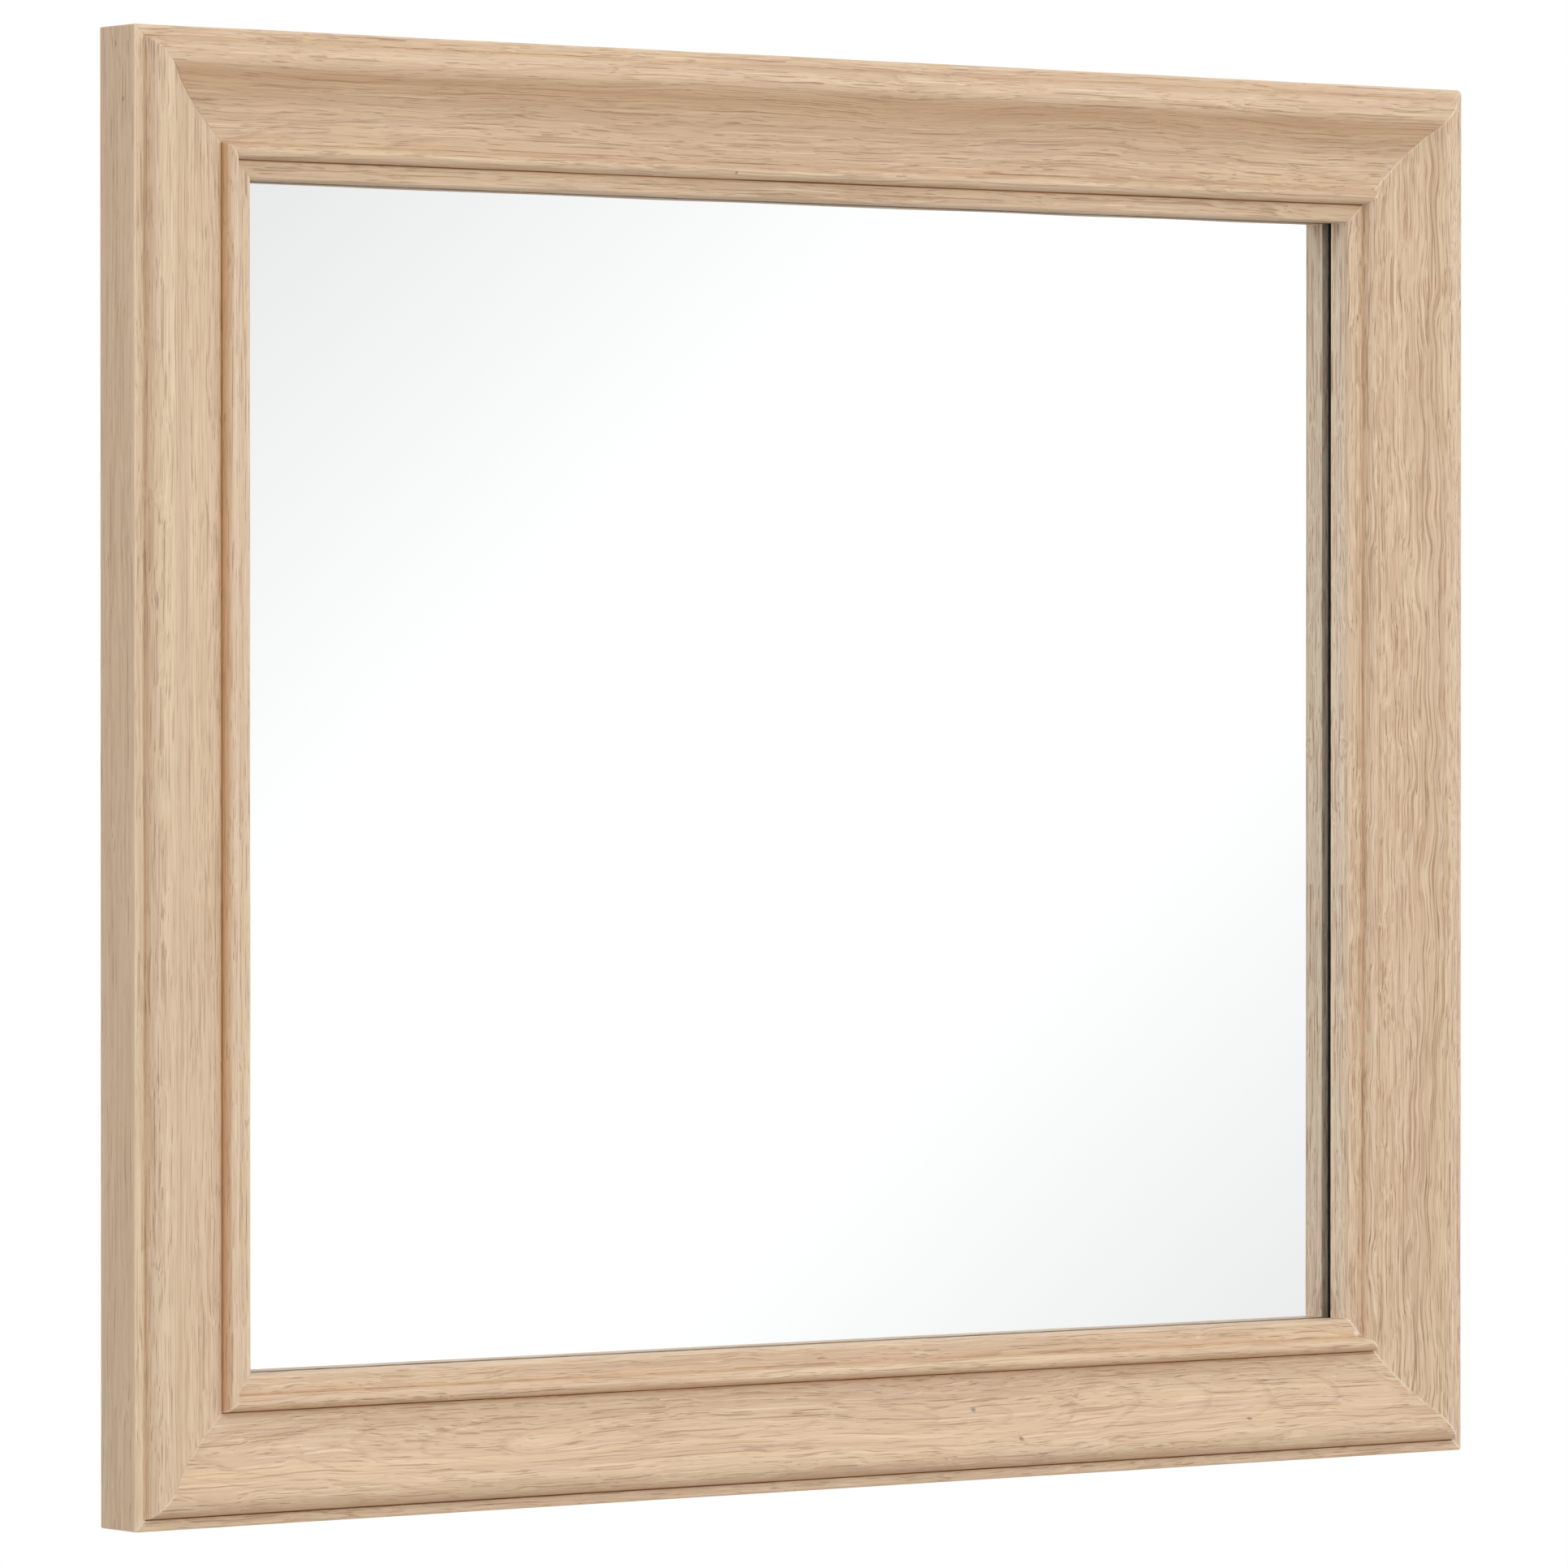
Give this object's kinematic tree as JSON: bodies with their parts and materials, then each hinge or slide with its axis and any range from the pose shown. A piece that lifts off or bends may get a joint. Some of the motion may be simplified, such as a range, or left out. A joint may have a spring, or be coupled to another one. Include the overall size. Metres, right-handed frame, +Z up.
{
  "type": "framed wall mirror",
  "caption": "Landscape wall mirror in a wide mitred oak moulding with a raised outer bead, a hollow cove and an inner bead, hung on swinging D-rings.",
  "frame": {"origin": "on the wall plane, midway between the two wall hooks that the raised D-rings hang on", "axes": "+Z up, +Y into the wall, +X to the right as seen by someone facing the mirror"},
  "size_m": [1.04, 0.0564, 0.9],
  "materials": {
    "oak": "pale limed oak, satin",
    "mirror_silver": "silvered float glass",
    "fibreboard": "bare hardboard",
    "dowel_beech": "bare beech",
    "setting_block": "matt",
    "spacer_foam": "matt foam tape",
    "screw_zinc": "bright zinc plated",
    "hanger_nickel": "nickel plated",
    "bumper_rubber": "matt"
  },
  "bodies": {
    "frame": {"top_rail": "oak", "bottom_rail": "oak", "left_stile": "oak", "right_stile": "oak", "dowel_top_left_outer": "dowel_beech", "dowel_top_left_inner": "dowel_beech", "dowel_bottom_left_outer": "dowel_beech", "dowel_bottom_left_inner": "dowel_beech", "dowel_top_right_outer": "dowel_beech", "dowel_top_right_inner": "dowel_beech", "dowel_bottom_right_outer": "dowel_beech", "dowel_bottom_right_inner": "dowel_beech", "mirror_glass": "mirror_silver", "setting_block_left": "setting_block", "setting_block_right": "setting_block", "spacer_top": "spacer_foam", "spacer_bottom": "spacer_foam", "spacer_left": "spacer_foam", "spacer_right": "spacer_foam", "back_board": "fibreboard", "board_screw_01": "screw_zinc", "board_screw_02": "screw_zinc", "board_screw_03": "screw_zinc", "board_screw_04": "screw_zinc", "board_screw_05": "screw_zinc", "board_screw_06": "screw_zinc", "board_screw_07": "screw_zinc", "board_screw_08": "screw_zinc", "board_screw_09": "screw_zinc", "board_screw_10": "screw_zinc", "board_screw_11": "screw_zinc", "board_screw_12": "screw_zinc", "strap_hanger_left": "hanger_nickel", "strap_hanger_right": "hanger_nickel", "strap_screw_left_upper": "screw_zinc", "strap_screw_left_lower": "screw_zinc", "strap_screw_right_upper": "screw_zinc", "strap_screw_right_lower": "screw_zinc", "bumper_top_left": "bumper_rubber", "bumper_bottom_left": "bumper_rubber", "bumper_top_right": "bumper_rubber", "bumper_bottom_right": "bumper_rubber"},
    "ring_left": {"d_ring_left": "hanger_nickel"},
    "ring_right": {"d_ring_right": "hanger_nickel"}
  },
  "joints": [
    {"name": "d_ring_left_hinge", "type": "hinge", "parent": "frame", "child": "ring_left", "pos_m": [-0.486, -0.0044, -0.016], "axis": [1, 0, 0], "range_deg": [0, 180]},
    {"name": "d_ring_right_hinge", "type": "hinge", "parent": "frame", "child": "ring_right", "pos_m": [0.486, -0.0044, -0.016], "axis": [1, 0, 0], "range_deg": [0, 180]}
  ]
}
